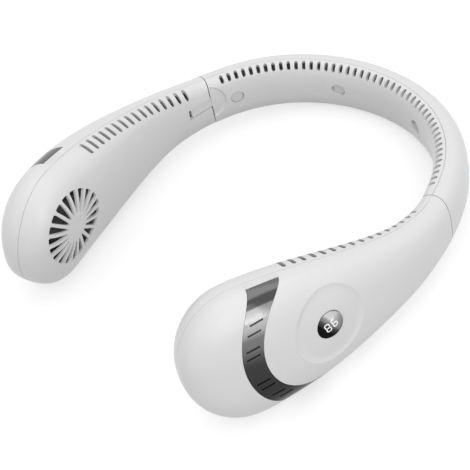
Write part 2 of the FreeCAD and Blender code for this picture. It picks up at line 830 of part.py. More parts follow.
def motor_mount(room):
    """Plate with the bush tube and the scroll wall that leads the air into the arm."""
    back = -MOUNT_DEPTH - MOUNT_THICK
    plate = rod(SCROLL_R + SCROLL_WALL, back, -MOUNT_DEPTH)
    tube = rod(TUBE_R, back, stator_top())
    wall = ring(SCROLL_R + SCROLL_WALL, SCROLL_R, back + MOUNT_THICK / 2, SCROLL_HEIGHT - MOUNT_DEPTH)
    side = FAR * math.tan(math.radians(OUTLET_HALF_ANGLE))
    wedge = Part.Face(Part.makePolygon([
        Vector(0, 0, -MOUNT_DEPTH), Vector(-FAR, -side, -MOUNT_DEPTH),
        Vector(-FAR, side, -MOUNT_DEPTH), Vector(0, 0, -MOUNT_DEPTH)]))
    wall = wall.cut(wedge.extrude(Vector(0, 0, FAR)))
    mount = plate.fuse([tube, wall]).removeSplitter()
    mount = mount.cut(rod(BUSH_R, -MOUNT_DEPTH, FAR))
    mount = mount.cut([rod(SCREW_R + PIN_RUN, -FAR, 0, x, y) for x, y in mount_post_spots()])
    return put(mount, FAN_PLACE).common(room)


def mount_screws():
    """Screws through the mount into the posts of the outer shell."""
    screws = []
    for x, y in mount_post_spots():
        head = rod(SCREW_HEAD_R, -MOUNT_DEPTH, -MOUNT_DEPTH + SCREW_HEAD, x, y)
        shank = rod(SCREW_R, -MOUNT_DEPTH - SCREW_LEN, -MOUNT_DEPTH, x, y)
        screws.append(put(head.fuse(shank).removeSplitter(), FAN_PLACE))
    return Part.makeCompound(screws)


# Outer face: dish, strip, display button

DISH_OUT = section_size(DISH_S)[1]
DISH_PLACE = lifted(station(DISH_S), 0, DISH_LIFT, 0)
FLOOR_PLACE = lifted(DISH_PLACE, 0, 0, DISH_DEPTH - DISH_OUT)
BACK_OF_WALL = WALL - DISH_DEPTH
FLANGE_FROM = BACK_OF_WALL + FLANGE_GAP
FLANGE_TO = FLANGE_FROM + FLANGE_THICK
STEM_TOP = BOARD_DEPTH - SWITCH_HEIGHT - STEM_HEIGHT


STRIP_NEAR_X = STRIP_NEAR_S - DISH_S
STRIP_FAR_X = STRIP_FAR_S - DISH_S


def crescent(gap):
    """Prism between the near and the far edge of the trim strip, across the outer half."""
    near = rod(STRIP_NEAR_R + gap, -FAR, 0, STRIP_NEAR_X, STRIP_LIFT)
    far = rod(STRIP_FAR_R - gap, -FAR, 0, STRIP_FAR_X, STRIP_LIFT)
    front = block(STRIP_NEAR_X + gap, FAR, -FAR, FAR, -FAR, 0)
    return put(far.cut(near).common(front), station(DISH_S))


def trim_strip(outer_solid, strip_floor):
    """Mirror strip let into the skin, with pairs of slits."""
    outline = crescent(STRIP_GAP)
    strip = outer_solid.common(outline).cut(strip_floor)
    slits = []
    for offset in SLIT_OFFSETS:
        for half in (-SLIT_PAIR / 2, SLIT_PAIR / 2):
            y = DISH_LIFT + offset + half
            near = STRIP_NEAR_X + math.sqrt(STRIP_NEAR_R ** 2 - (y - STRIP_LIFT) ** 2)
            far = STRIP_FAR_X + math.sqrt(STRIP_FAR_R ** 2 - (y - STRIP_LIFT) ** 2)
            x0 = (near + far - SLIT_LEN) / 2
            slit = block(x0, x0 + SLIT_LEN, y - SLIT_WIDTH / 2, y + SLIT_WIDTH / 2, -FAR, 0)
            slits.append(put(slit, station(DISH_S)))
    return strip.cut(slits)


def display_lens():
    """Domed mirror disc of the button."""
    arch_r = (LENS_R ** 2 + LENS_DOME ** 2) / (2 * LENS_DOME)
    rim = Vector(LENS_R, 0, -LENS_PROUD)
    top = Vector(0, 0, -LENS_PROUD - LENS_DOME)
    bend = math.asin(LENS_R / arch_r) / 2
    middle = Vector(arch_r * math.sin(bend), 0, top.z + arch_r * (1 - math.cos(bend)))
    outline = Part.Wire([
        Part.Arc(top, middle, rim).toShape(),
        Part.LineSegment(rim, Vector(LENS_R, 0, FLANGE_FROM)).toShape(),
        Part.LineSegment(Vector(LENS_R, 0, FLANGE_FROM), Vector(0, 0, FLANGE_FROM)).toShape(),
        Part.LineSegment(Vector(0, 0, FLANGE_FROM), top).toShape(),
    ])
    return put(Part.Face(outline).revolve(Vector(0, 0, 0), Vector(0, 0, 1), 360), FLOOR_PLACE)


def button_plunger():
    """Flange behind the shell that carries the lens, with the stem over the switch."""
    flange = ring(FLANGE_R, WINDOW_R, FLANGE_FROM, FLANGE_TO)
    stem_end = STEM_TOP - BUTTON_TRAVEL - FIT_GAP
    stem = rod(STEM_R, FLANGE_TO - FLANGE_THICK / 2, stem_end, SWITCH_OFFSET)
    return put(flange.fuse(stem).removeSplitter(), FLOOR_PLACE)


# Boards and what they carry

BOARD_X0 = BOARD_SHIFT - BOARD_LEN / 2
BOARD_X1 = BOARD_SHIFT + BOARD_LEN / 2
BOARD_BACK = BOARD_DEPTH + BOARD_THICK
SOCKET_X = SOCKET_S - DISH_S


def board_post_spots():
    """Places of the posts that carry a board."""
    half = BOARD_HEIGHT / 2 - BOARD_POST_INSET
    ends = (BOARD_X0 + BOARD_POST_INSET, BOARD_X1 - BOARD_POST_INSET)
    return [(x, y) for x in ends for y in (-half, half)]


def board(with_tab):
    """Circuit board; the right one has a tab for the charging socket."""
    half = BOARD_HEIGHT / 2
    plate = block(BOARD_X0, BOARD_X1, -half, half, BOARD_DEPTH, BOARD_BACK)
    if with_tab:
        x0, x1 = SOCKET_X - TAB_WIDTH / 2, SOCKET_X + TAB_WIDTH / 2
        tab = block(x0, x1, -half - TAB_DROP, -half, BOARD_DEPTH, BOARD_BACK)
        plate = plate.fuse(tab).removeSplitter()
    return put(plate, FLOOR_PLACE)


def tact_switch():
    """Push switch under the stem of the button."""
    half = SWITCH_SIDE / 2
    x0, x1 = SWITCH_OFFSET - half, SWITCH_OFFSET + half
    body = block(x0, x1, -half, half, BOARD_DEPTH - SWITCH_HEIGHT, BOARD_DEPTH)
    stem = rod(STEM_R, STEM_TOP, BOARD_DEPTH - SWITCH_HEIGHT / 2, SWITCH_OFFSET)
    return put(body.fuse(stem).removeSplitter(), FLOOR_PLACE)


def display_module():
    """Two-digit light block behind the lens."""
    x1 = SWITCH_OFFSET - SWITCH_SIDE / 2 - FIT_GAP
    half = DISPLAY_HEIGHT / 2
    module = block(x1 - DISPLAY_LEN, x1, -half, half, BOARD_DEPTH - DISPLAY_DEPTH, BOARD_DEPTH)
    return put(module, FLOOR_PLACE)


def socket_bottom():
    """Height of the charging socket's mouth, in the frame of the dish."""
    return -section_size(SOCKET_S)[0] / 2 + SOCKET_SINK - DISH_LIFT


def socket_prism(grow, y0, y1):
    """Round-ended prism along the charging socket."""
    width, thick = SOCKET_WIDTH + 2 * grow, SOCKET_THICK + 2 * grow
    r = thick / 2
    middle = BOARD_BACK + SOCKET_THICK / 2
    x0, x1 = SOCKET_X - width / 2 + r, SOCKET_X + width / 2 - r
    up = Vector(0, 1, 0)
    ends = [Part.makeCylinder(r, y1 - y0, Vector(x, y0, middle), up) for x in (x0, x1)]
    return block(x0, x1, y0, y1, middle - r, middle + r).fuse(ends).removeSplitter()


def charging_socket():
    """Charging socket shell with its tongue, mouth down."""
    y0 = socket_bottom()
    shell = socket_prism(0, y0, y0 + SOCKET_LEN)
    shell = shell.cut(socket_prism(-SOCKET_WALL, y0 - 1, y0 + SOCKET_LEN - 2 * SOCKET_WALL))
    middle = BOARD_BACK + SOCKET_THICK / 2
    wide = SOCKET_WIDTH / 2 - SOCKET_THICK / 2
    z0, z1 = middle - SOCKET_WALL, middle + SOCKET_WALL
    root = y0 + SOCKET_LEN - SOCKET_WALL
    tongue = block(SOCKET_X - wide, SOCKET_X + wide, y0 + SOCKET_SINK, root, z0, z1)
    return put(shell.fuse(tongue).removeSplitter(), FLOOR_PLACE)


# Battery

CELL_PLACE = station(CELL_S)


def battery_cell():
    """Flat cell with round edges."""
    x, y, z = CELL_LEN / 2, CELL_HEIGHT / 2, CELL_THICK / 2
    cell = block(-x, x, -y, y, -z, z)
    long_edges = [e for e in cell.Edges if abs(e.Length - CELL_LEN) < TINY]
    return put(cell.makeFillet(CELL_ROUND, long_edges), CELL_PLACE)


def battery_tray(room):
    """Plate with ribs between the cell and the outer shell."""
    z1 = -CELL_THICK / 2 - FIT_GAP
    z0 = z1 - TRAY_THICK
    x0 = -CELL_LEN / 2 + FIT_GAP
    x1 = x0 + RIB_PITCH * (TRAY_RIBS - 1) + RIB_THICK
    y = CELL_HEIGHT / 2 - CELL_ROUND
    ribs = []
    for k in range(TRAY_RIBS):
        start = x0 + RIB_PITCH * k
        ribs.append(block(start, start + RIB_THICK, -y, y, -FAR / 2, z0))
    tray = block(x0, x1, -y, y, z0, z1).fuse(ribs).removeSplitter()
    return put(tray, CELL_PLACE).common(room)


# Arm shells

def build_arm():
    """Shells and trim of the right arm; the button hole and socket mouth come later."""
    behind = put(behind_knuckle(KNUCKLE_R), PIN_PLACE)
    hollow = arm_skin(WALL, ROOM_FROM)
    room = arm_skin(WALL + ROOM_GAP, ROOM_FROM + ROOM_GAP)
    strip_floor = arm_skin(STRIP_THICK, ARM_FROM)
    pocket_floor = arm_skin(STRIP_THICK + STRIP_GLUE, ARM_FROM)
    dish_floor = arm_skin(DISH_DEPTH, ARM_FROM)
    mount_back = -MOUNT_DEPTH - MOUNT_THICK
    posts = [put(rod(POST_R, -FAR, mount_back, x, y), FAN_PLACE) for x, y in mount_post_spots()]
    posts += [put(rod(POST_R, -FAR, BOARD_DEPTH, x, y), FLOOR_PLACE) for x, y in board_post_spots()]

    outer_solid = arm_half(OUTER)
    strip = trim_strip(outer_solid, strip_floor)
    rings = [
        (DISH_R + DISH_BEVEL / 4, -DISH_DEPTH / 4),
        (DISH_R, 0.0),
        (DISH_R - DISH_BEVEL / 3, DISH_DEPTH / 2),
        (DISH_R - DISH_BEVEL * 2 / 3, DISH_DEPTH * 0.85),
        (DISH_R - DISH_BEVEL * 4 / 3, DISH_DEPTH + FIT_GAP),
    ]
    dish = skin_recess(DISH_S, DISH_LIFT, OUTER, rings, dish_floor)
    pocket = crescent(0).cut(pocket_floor)
    pilots = []
    for x, y in mount_post_spots():
        pilots.append(put(rod(SCREW_R + PIN_RUN, mount_back - SCREW_LEN, 0, x, y), FAN_PLACE))
    outer = outer_solid.cut(hollow.cut(posts)).cut([dish, pocket, behind] + pilots + tongue_notch())

    inner = arm_half(INNER).cut(hollow).cut([behind, grille_pocket()] + tongue_notch())
    inner = inner.cut(arm_slot_cutters()).cut(grille_cutters())
    return outer, inner, strip, room


def build_arms():
    """Every piece of the two arms, fans and of the button."""
    outer, inner, strip, room = build_arm()
    both = {
        "arm_outer_shell": outer,
        "arm_inner_shell": inner,
        "trim_strip": strip,
        "hinge_bracket": hinge_bracket(room),
        "hinge_pin": hinge_pin(),
        "hinge_washers": hinge_washers(),
        "motor_mount": motor_mount(room),
        "mount_screws": mount_screws(),
        "motor_bush": motor_bush(),
        "motor_stator": motor_stator(),
        "motor_coils": motor_coils(),
        "rotor_can": rotor_can(),
        "magnet_ring": magnet_ring(),
        "motor_shaft": motor_shaft(),
        "impeller": impeller(),
        "battery_cell": battery_cell(),
        "battery_tray": battery_tray(room),
    }
    nodes = {}
    for name, shape in both.items():
        nodes[name + "_right"] = shape
        nodes[name + "_left"] = mirrored(shape)
    button_hole = put(rod(LENS_R + LENS_GAP, -FAR / 4, FLANGE_FROM), FLOOR_PLACE)
    seat = rod(FLANGE_R + FLANGE_ROOM, BACK_OF_WALL, FLANGE_TO + BUTTON_TRAVEL)
    flange_seat = put(seat, FLOOR_PLACE)
    bottom = socket_bottom()
    mouth = put(socket_prism(SOCKET_GAP, bottom - FAR / 4, bottom + SOCKET_LEN), FLOOR_PLACE)
    nodes["arm_outer_shell_right"] = outer.cut([button_hole, flange_seat, mouth])
    nodes["main_board"] = board(True)
    nodes["motor_board"] = mirrored(board(False))
    nodes["tact_switch"] = tact_switch()
    nodes["display_module"] = display_module()
    nodes["charging_socket"] = charging_socket()
    nodes["display_lens"] = display_lens()
    nodes["button_plunger"] = button_plunger()
    return nodes


def main():
    """Write one file per piece."""
    os.makedirs("parts", exist_ok=True)
    nodes = build_band()
    nodes.update(build_arms())
    for name, shape in nodes.items():
        shape.exportStep("parts/" + name + ".step")


main()
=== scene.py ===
import json
import math
import bmesh
import bpy
from mathutils import Matrix, Vector
from mathutils.bvhtree import BVHTree


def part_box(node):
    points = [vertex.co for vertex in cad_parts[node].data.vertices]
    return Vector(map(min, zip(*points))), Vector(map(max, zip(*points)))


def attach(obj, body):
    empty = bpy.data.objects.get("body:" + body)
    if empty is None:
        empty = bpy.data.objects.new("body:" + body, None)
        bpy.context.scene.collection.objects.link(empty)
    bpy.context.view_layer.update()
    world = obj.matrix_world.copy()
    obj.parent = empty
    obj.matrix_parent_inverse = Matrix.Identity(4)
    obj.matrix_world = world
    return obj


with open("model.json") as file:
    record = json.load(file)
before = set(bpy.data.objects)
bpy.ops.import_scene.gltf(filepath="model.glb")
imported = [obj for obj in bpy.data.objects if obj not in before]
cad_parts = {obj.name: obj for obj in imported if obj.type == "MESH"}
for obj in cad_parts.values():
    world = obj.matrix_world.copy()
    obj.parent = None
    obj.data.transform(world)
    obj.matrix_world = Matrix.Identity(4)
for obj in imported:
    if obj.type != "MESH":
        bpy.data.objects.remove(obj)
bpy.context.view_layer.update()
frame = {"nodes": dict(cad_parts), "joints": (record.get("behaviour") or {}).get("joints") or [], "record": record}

nodes = frame["nodes"]
joints = {joint["name"]: joint for joint in frame["joints"]}
MM = 0.001
UP = Vector((0.0, 0.0, 1.0))
WHITE = (1.0, 1.0, 1.0, 1.0)

# Camera at the photograph's angle
CAMERA_AZIMUTH = 54.787
CAMERA_ELEVATION = 44.771
CAMERA_ROLL = -14.232
CAMERA_DISTANCE = 0.62367
CAMERA_LENS = 101.5
CAMERA_SENSOR = 36.0
CAMERA_NEAR = 0.01
CAMERA_SHIFT_RIGHT = -0.0280954
CAMERA_SHIFT_UP = -0.0267267
CAMERA_AIM = Vector((0.0, 0.014929, 0.030))

# Moulded plastic: noise scales per metre, uneven gloss and grain
CASING = (0.72, 0.72, 0.725)
CASING_ROUGHNESS = 0.34
FLOW_SCALE = 34.0
GLOSS_SCALE = 190.0
GLOSS_SPREAD = 0.02
GRAIN_SCALE = 2600.0
GRAIN_STRENGTH = 0.12
GRAIN_DEPTH = 0.04 * MM
COAT_ROUGHNESS = 0.2
NOISE_RANGE = (0.3, 0.7)

# Worked metal: streaks drawn out along Z
STREAK_STRETCH = (1.0, 1.0, 0.08)
STREAK_SCALE = 900.0
STREAK_STRENGTH = 0.1
STREAK_DIM = 0.82
STREAK_SMOOTHER = 0.06
STREAK_ROUGHER = 0.08
SCRATCH_DEPTH = 0.02 * MM

# Mirror plating with painted reflections: tones in light and dark reflection bands, with a painted highlight, as
# (share of the way, tone)
STRIP_PAINTED_REFLECTION_STOPS = [
    (0.0, 0.006), (0.4, 0.04), (0.65, 0.17), (0.75, 0.5), (0.835, 0.3), (0.845, 0.085),
    (0.885, 0.085), (0.895, 0.17),
]
STRIP_ROUGHNESS = 0.1
STRIP_BARE_FROM = 0.955
# Display lens: painted reflection, dark on its lower side and light on its lit side, leaned by LENS_LEAN
LENS_PAINTED_REFLECTION_STOPS = [(0.25, 0.004), (0.42, 0.05), (0.56, 0.25), (0.72, 0.68)]
LENS_ROUGHNESS = 0.06
LENS_LEAN = -55.0
LENS_ACROSS = (-1.0, 1.0)
# Painted shade: the lens darkens towards the hinge
LENS_PAINTED_SHADE_LIMITS = (-5.0, 3.0)
LENS_EDGE = 0.4
PLATING = 0.85
HAZE_SCALE = 120.0
HAZE_RANGE = (0.35, 0.7)
HAZE_DIM = 0.94
WIPE_SCALE = 420.0
WIPE_RANGE = (0.3, 0.75)
WIPE_ROUGHER = 0.07
WIPE_STRENGTH = 0.05

# Circuit boards
BOARD_DARK = (0.006, 0.09, 0.035)
BOARD_LIGHT = (0.02, 0.2, 0.08)
BOARD_ROUGHNESS = 0.3
WEAVE_SCALE = 420.0
WEAVE_RANGE = (0.2, 0.42)
WEAVE_STRENGTH = 0.2

# Display digits
SHOWN = "86"
SEGMENTS = {"8": "abcdefg", "6": "acdefg"}
DIGIT_WIDTH = 2.0 * MM
DIGIT_HEIGHT = 3.9 * MM
DIGIT_GAP = 1.5 * MM
DIGIT_TURN = 16.0
DIGIT_RISE = 0.6 * MM
STROKE = 0.5 * MM
STROKE_GAP = 0.06 * MM
STROKE_STEPS = 5
DIGIT_LIFT = 0.03 * MM
DIGIT_THICK = 2 * DIGIT_LIFT
RAY_START = 5.0 * MM
DIGIT_COLOUR = (0.85, 0.86, 0.89)
DIGIT_GLOW = 0.3
DIGIT_ROUGHNESS = 0.35
GLOW_SCALE = 900.0
GLOW_DIM = 0.9

# Stage and light
FLOOR_HALF = 3.0
FLOOR_CELLS = 4
FLOOR_DROP = 0.4 * MM
FLOOR_BOUNCE = (0.4, 0.4, 0.4, 1.0)
FLOOR_GLOW = 0.6
FLOOR_TONES = (0.46, 0.48)
FLOOR_GRAIN = 300.0
FLOOR_ROUGHNESS = 0.9
FLOOR_SPECULAR = 0.1
WORLD_LIGHT = 1.0
WORLD_LEVELS = [(0.0, 0.5), (0.4, 0.75), (0.8, 1.0), (1.0, 0.9)]
LIGHT_AIM = (0.0, 0.0, 0.0)
KEY_PLACE = (-0.1, 0.2, 1.1)
KEY_SIZE = 1.0
KEY_POWER = 1.5
FRONT_PLACE = (0.75, -0.3, 0.6)
FRONT_SIZE = 0.8
FRONT_POWER = 2.6


# Axes of the right arm and of the display lens, from the joints

def arm_axes(middle):
    """The arm's outward and upward axes, square to its length."""
    inward = Vector(joints["right_fan_spin"]["axis"]) + Vector(joints["display_press"]["axis"])
    along = inward.cross(UP).normalized()
    reach = Vector(joints["right_hinge"]["pos_m"]) - middle
    along.z = reach.z / reach.xy.length
    along.normalize()
    outward = -(inward - along * inward.dot(along)).normalized()
    return outward, outward.cross(along)


arm_middle = Vector(joints["right_fan_spin"]["pos_m"])
arm_out, arm_up = arm_axes(arm_middle)
strip_places = [v.co - arm_middle for v in nodes["trim_strip_right"].data.vertices]
strip_turns = [math.atan2(p.dot(arm_up), p.dot(arm_out)) for p in strip_places]

lens_low, lens_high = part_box("display_lens")
lens_out = -Vector(joints["display_press"]["axis"]).normalized()
lens_up = (UP - lens_out * lens_out.z).normalized()
lens_lit = Matrix.Rotation(math.radians(LENS_LEAN), 3, lens_out) @ lens_up
lens_side = lens_out.cross(lens_lit)


# Node helpers

def new_material(name):
    """A node material, its tree and its Principled shader."""
    mat = bpy.data.materials.new(name)
    mat.use_nodes = True
    tree = mat.node_tree
    return mat, tree, tree.nodes["Principled BSDF"]


def add(tree, kind, **values):
    """A node with its plain attributes set."""
    node = tree.nodes.new(kind)
    for key, value in values.items():
        setattr(node, key, value)
    return node


def object_coords(tree):
    """Object coordinates, in metres."""
    return add(tree, "ShaderNodeTexCoord").outputs["Object"]


def noise(tree, coords, scale, detail=3.0):
    """Noise on given coordinates."""
    node = add(tree, "ShaderNodeTexNoise")
    node.inputs["Scale"].default_value = scale
    node.inputs["Detail"].default_value = detail
    node.inputs["Roughness"].default_value = 0.55
    tree.links.new(coords, node.inputs["Vector"])
    return node.outputs["Fac"]


def ramp(tree, factor, stops, mode="LINEAR"):
    """A colour ramp from (position, grey or colour) stops."""
    node = add(tree, "ShaderNodeValToRGB")
    node.color_ramp.interpolation = mode
    elements = node.color_ramp.elements
    while len(elements) < len(stops):
        elements.new(0.5)
    for element, (place, colour) in zip(elements, stops):
        element.position = place
        tone = colour if isinstance(colour, tuple) else (colour, colour, colour)
        element.color = tone + (1.0,)
    tree.links.new(factor, node.inputs["Fac"])
    return node.outputs["Color"]


def varied(tree, texture, low, high, between=NOISE_RANGE):
    """A tone or number that goes from low to high with a texture."""
    return ramp(tree, texture, [(between[0], low), (between[1], high)])


def dimmed(colour, factor):
    """A colour times a factor."""
    return tuple(c * factor for c in colour)


def bumped(tree, shader, height, strength, distance):
    """Feeds a height into the shader's normal."""
    bump = add(tree, "ShaderNodeBump")
    bump.inputs["Strength"].default_value = strength
    bump.inputs["Distance"].default_value = distance
    tree.links.new(height, bump.inputs["Height"])
    tree.links.new(bump.outputs["Normal"], shader.inputs["Normal"])


def mixed(tree, kind, factor, first, second):
    """One of two values by a factor; each is a constant or a socket."""
    node = add(tree, "ShaderNodeMix", data_type=kind)
    tree.links.new(factor, node.inputs["Factor"])
    for name, value in (("A", first), ("B", second)):
        if isinstance(value, bpy.types.NodeSocket):
            tree.links.new(value, node.inputs[name])
        else:
            node.inputs[name].default_value = value
    return node.outputs["Result"]


def multiplied(tree, first, second):
    """Two colours multiplied."""
    node = add(tree, "ShaderNodeMix", data_type="RGBA", blend_type="MULTIPLY")
    node.inputs["Factor"].default_value = 1.0
    tree.links.new(first, node.inputs["A"])
    tree.links.new(second, node.inputs["B"])
    return node.outputs["Result"]


def along_axis(tree, coords, axis):
    """How far a place lies along an axis."""
    dot = add(tree, "ShaderNodeVectorMath", operation="DOT_PRODUCT")
    dot.inputs[1].default_value = axis
    tree.links.new(coords, dot.inputs[0])
    return dot.outputs["Value"]


def share(tree, value, low, high):
    """A value as a share of the way from low to high."""
    level = add(tree, "ShaderNodeMapRange")
    level.inputs["From Min"].default_value = low
    level.inputs["From Max"].default_value = high
    tree.links.new(value, level.inputs["Value"])
    return level.outputs["Result"]


# Materials

def moulded_plastic(name, colour, spread, roughness, grain=GRAIN_SCALE, strength=GRAIN_STRENGTH, coat=0.0):
    """Moulded plastic: faint flow mottling, fine spark-eroded grain and uneven gloss."""
    mat, tree, shader = new_material(name)
    coords = object_coords(tree)
    flow = noise(tree, coords, FLOW_SCALE)
    tint = varied(tree, flow, dimmed(colour, 1.0 - spread), colour)
    tree.links.new(tint, shader.inputs["Base Color"])
    gloss = noise(tree, coords, GLOSS_SCALE)
    spot = varied(tree, gloss, roughness - GLOSS_SPREAD, roughness + GLOSS_SPREAD)
    tree.links.new(spot, shader.inputs["Roughness"])
    bumped(tree, shader, noise(tree, coords, grain, detail=2.0), strength, GRAIN_DEPTH)
    shader.inputs["Coat Weight"].default_value = coat
    shader.inputs["Coat Roughness"].default_value = COAT_ROUGHNESS
    return mat


def metal(name, colour, roughness, streak=STREAK_SCALE, strength=STREAK_STRENGTH):
    """Worked metal: streaked tone and roughness, with fine scratches."""
    mat, tree, shader = new_material(name)
    stretch = add(tree, "ShaderNodeMapping")
    stretch.inputs["Scale"].default_value = STREAK_STRETCH
    tree.links.new(object_coords(tree), stretch.inputs["Vector"])
    lines = noise(tree, stretch.outputs["Vector"], streak, detail=5.0)
    tone = varied(tree, lines, dimmed(colour, STREAK_DIM), colour)
    tree.links.new(tone, shader.inputs["Base Color"])
    spot = varied(tree, lines, roughness - STREAK_SMOOTHER, roughness + STREAK_ROUGHER)
    tree.links.new(spot, shader.inputs["Roughness"])
    bumped(tree, shader, lines, strength, SCRATCH_DEPTH)
    shader.inputs["Metallic"].default_value = 1.0
    return mat


def lens_span(axis):
    """Middle and half width of the display lens along an axis."""
    places = [v.co.dot(axis) for v in nodes["display_lens"].data.vertices]
    return (max(places) + min(places)) / 2, (max(places) - min(places)) / 2


def across_lens(tree, coords):
    """Level for the lens's painted reflection: share of the way from its dark lower side to its lit side, held
    down towards the hinge as painted shade.
    """
    least = add(tree, "ShaderNodeMath", operation="MINIMUM")
    for slot, (axis, limits) in enumerate(((lens_lit, LENS_ACROSS), (lens_side, LENS_PAINTED_SHADE_LIMITS))):
        middle, half = lens_span(axis)
        low, high = (middle + limit * half for limit in limits)
        level = share(tree, along_axis(tree, coords, axis), low, high)
        tree.links.new(level, least.inputs[slot])
    return least.outputs["Value"]


def round_arm(tree, coords):
    """Share of the way round the arm from a trim strip's lower end to its top, alike on both sides; the level of
    the strip's painted reflection bands.
    """
    parts = add(tree, "ShaderNodeSeparateXYZ")
    tree.links.new(coords, parts.inputs["Vector"])
    right_side = add(tree, "ShaderNodeMath", operation="ABSOLUTE")
    tree.links.new(parts.outputs["X"], right_side.inputs[0])
    place = add(tree, "ShaderNodeCombineXYZ")
    tree.links.new(right_side.outputs["Value"], place.inputs["X"])
    tree.links.new(parts.outputs["Y"], place.inputs["Y"])
    tree.links.new(parts.outputs["Z"], place.inputs["Z"])
    from_middle = add(tree, "ShaderNodeVectorMath", operation="SUBTRACT")
    from_middle.inputs[1].default_value = arm_middle
    tree.links.new(place.outputs["Vector"], from_middle.inputs[0])
    turn = add(tree, "ShaderNodeMath", operation="ARCTAN2")
    tree.links.new(along_axis(tree, from_middle.outputs["Vector"], arm_up), turn.inputs[0])
    tree.links.new(along_axis(tree, from_middle.outputs["Vector"], arm_out), turn.inputs[1])
    return share(tree, turn.outputs["Value"], min(strip_turns), max(strip_turns))


def plated_with_painted_reflections(name, stops, level, roughness, edge=1.0, bare_from=None):
    """Mirror plating with reflections painted into its colour: light and dark bands and a highlight along a level,
    with faint haze and wipe marks.

    Above bare_from the piece is left in the casing's white."""
    mat, tree, shader = new_material(name)
    shader.inputs["Specular Tint"].default_value = (edge, edge, edge, 1.0)
    coords = object_coords(tree)
    place = level(tree, coords)
    # Painted reflection bands and highlight, taken from the level
    colour = ramp(tree, place, stops, "EASE")
    wipe = noise(tree, coords, WIPE_SCALE, detail=4.0)
    gloss = varied(tree, wipe, roughness, roughness + WIPE_ROUGHER, WIPE_RANGE)
    if bare_from is None:
        shader.inputs["Metallic"].default_value = PLATING
    else:
        step = add(tree, "ShaderNodeMath", operation="GREATER_THAN")
        step.inputs[1].default_value = bare_from
        tree.links.new(place, step.inputs[0])
        bare = step.outputs["Value"]
        colour = mixed(tree, "RGBA", bare, colour, CASING + (1.0,))
        gloss = mixed(tree, "FLOAT", bare, gloss, CASING_ROUGHNESS)
        tree.links.new(mixed(tree, "FLOAT", bare, PLATING, 0.0), shader.inputs["Metallic"])
    haze = varied(tree, noise(tree, coords, HAZE_SCALE), HAZE_DIM, 1.0, HAZE_RANGE)
    tree.links.new(multiplied(tree, colour, haze), shader.inputs["Base Color"])
    tree.links.new(gloss, shader.inputs["Roughness"])
    bumped(tree, shader, wipe, WIPE_STRENGTH, SCRATCH_DEPTH)
    return mat


def circuit_board(name):
    """Solder-masked board with the weave of its glass cloth showing through."""
    mat, tree, shader = new_material(name)
    weave = add(tree, "ShaderNodeTexVoronoi", distance="CHEBYCHEV")
    weave.inputs["Scale"].default_value = WEAVE_SCALE
    tree.links.new(object_coords(tree), weave.inputs["Vector"])
    tone = varied(tree, weave.outputs["Distance"], BOARD_DARK, BOARD_LIGHT, WEAVE_RANGE)
    tree.links.new(tone, shader.inputs["Base Color"])
    shader.inputs["Roughness"].default_value = BOARD_ROUGHNESS
    bumped(tree, shader, weave.outputs["Distance"], WEAVE_STRENGTH, GRAIN_DEPTH)
    return mat


def glowing(name, colour, strength):
    """Lit display segment with a soft uneven glow."""
    mat, tree, shader = new_material(name)
    cells = noise(tree, object_coords(tree), GLOW_SCALE, detail=2.0)
    tone = varied(tree, cells, dimmed(colour, GLOW_DIM), colour)
    tree.links.new(tone, shader.inputs["Base Color"])
    tree.links.new(tone, shader.inputs["Emission Color"])
    shader.inputs["Emission Strength"].default_value = strength
    shader.inputs["Roughness"].default_value = DIGIT_ROUGHNESS
    return mat


# Finish of each CAD node, by its slot in the record: colour, spread, roughness, grain or streak, its strength

finish = {
    "casing": moulded_plastic("satin_white", CASING, 0.012, CASING_ROUGHNESS, coat=0.15),
    "plug": moulded_plastic("plug_white", (0.68, 0.68, 0.685), 0.03, 0.5),
    # The strip's and the lens's colours hold painted reflections; the lens also holds painted shade
    "mirror_trim": plated_with_painted_reflections(
        "strip_plating_painted_reflection", STRIP_PAINTED_REFLECTION_STOPS, round_arm, STRIP_ROUGHNESS, bare_from=STRIP_BARE_FROM),
    "lens": plated_with_painted_reflections("lens_plating_painted_reflection", LENS_PAINTED_REFLECTION_STOPS, across_lens, LENS_ROUGHNESS, edge=LENS_EDGE),
    "impeller": moulded_plastic("impeller_dark", (0.09, 0.09, 0.094), 0.2, 0.5),
    "inner_plastic": moulded_plastic("inner_grey", (0.2, 0.2, 0.21), 0.1, 0.5),
    "steel": metal("plated_steel", (0.6, 0.61, 0.63), 0.3),
    "washer": moulded_plastic("washer_dark", (0.1, 0.1, 0.105), 0.1, 0.45),
    "wire": moulded_plastic("wire_sleeve", (0.03, 0.03, 0.03), 0.2, 0.55, 1500.0, 0.3),
    "bronze": metal("sintered_bronze", (0.5, 0.34, 0.17), 0.45, 2400.0, 0.25),
    "core": metal("stack_steel", (0.2, 0.2, 0.22), 0.5),
    "copper": metal("enamelled_copper", (0.6, 0.26, 0.11), 0.3, 2600.0, 0.3),
    "magnet": metal("bonded_magnet", (0.1, 0.1, 0.11), 0.55, 2000.0, 0.2),
    "cell_wrap": moulded_plastic("cell_wrap", (0.13, 0.14, 0.16), 0.1, 0.3, 800.0, 0.2),
    "circuit_board": circuit_board("solder_mask"),
    "component": moulded_plastic("component_black", (0.02, 0.02, 0.021), 0.2, 0.4),
}
for part in frame["record"]["subparts"]:
    piece = nodes[part["node"]]
    piece.data.materials.clear()
    piece.data.materials.append(finish[part["material_slot"]])


# Display digits on the dome of the button

def segment_bars():
    """Centre, length and direction of the seven segments of one digit."""
    w, h = DIGIT_WIDTH, DIGIT_HEIGHT
    return {
        "a": ((0, h / 2), w, 0), "g": ((0, 0), w, 0), "d": ((0, -h / 2), w, 0),
        "b": ((w / 2, h / 4), h / 2, 1), "c": ((w / 2, -h / 4), h / 2, 1),
        "f": ((-w / 2, h / 4), h / 2, 1), "e": ((-w / 2, -h / 4), h / 2, 1),
    }


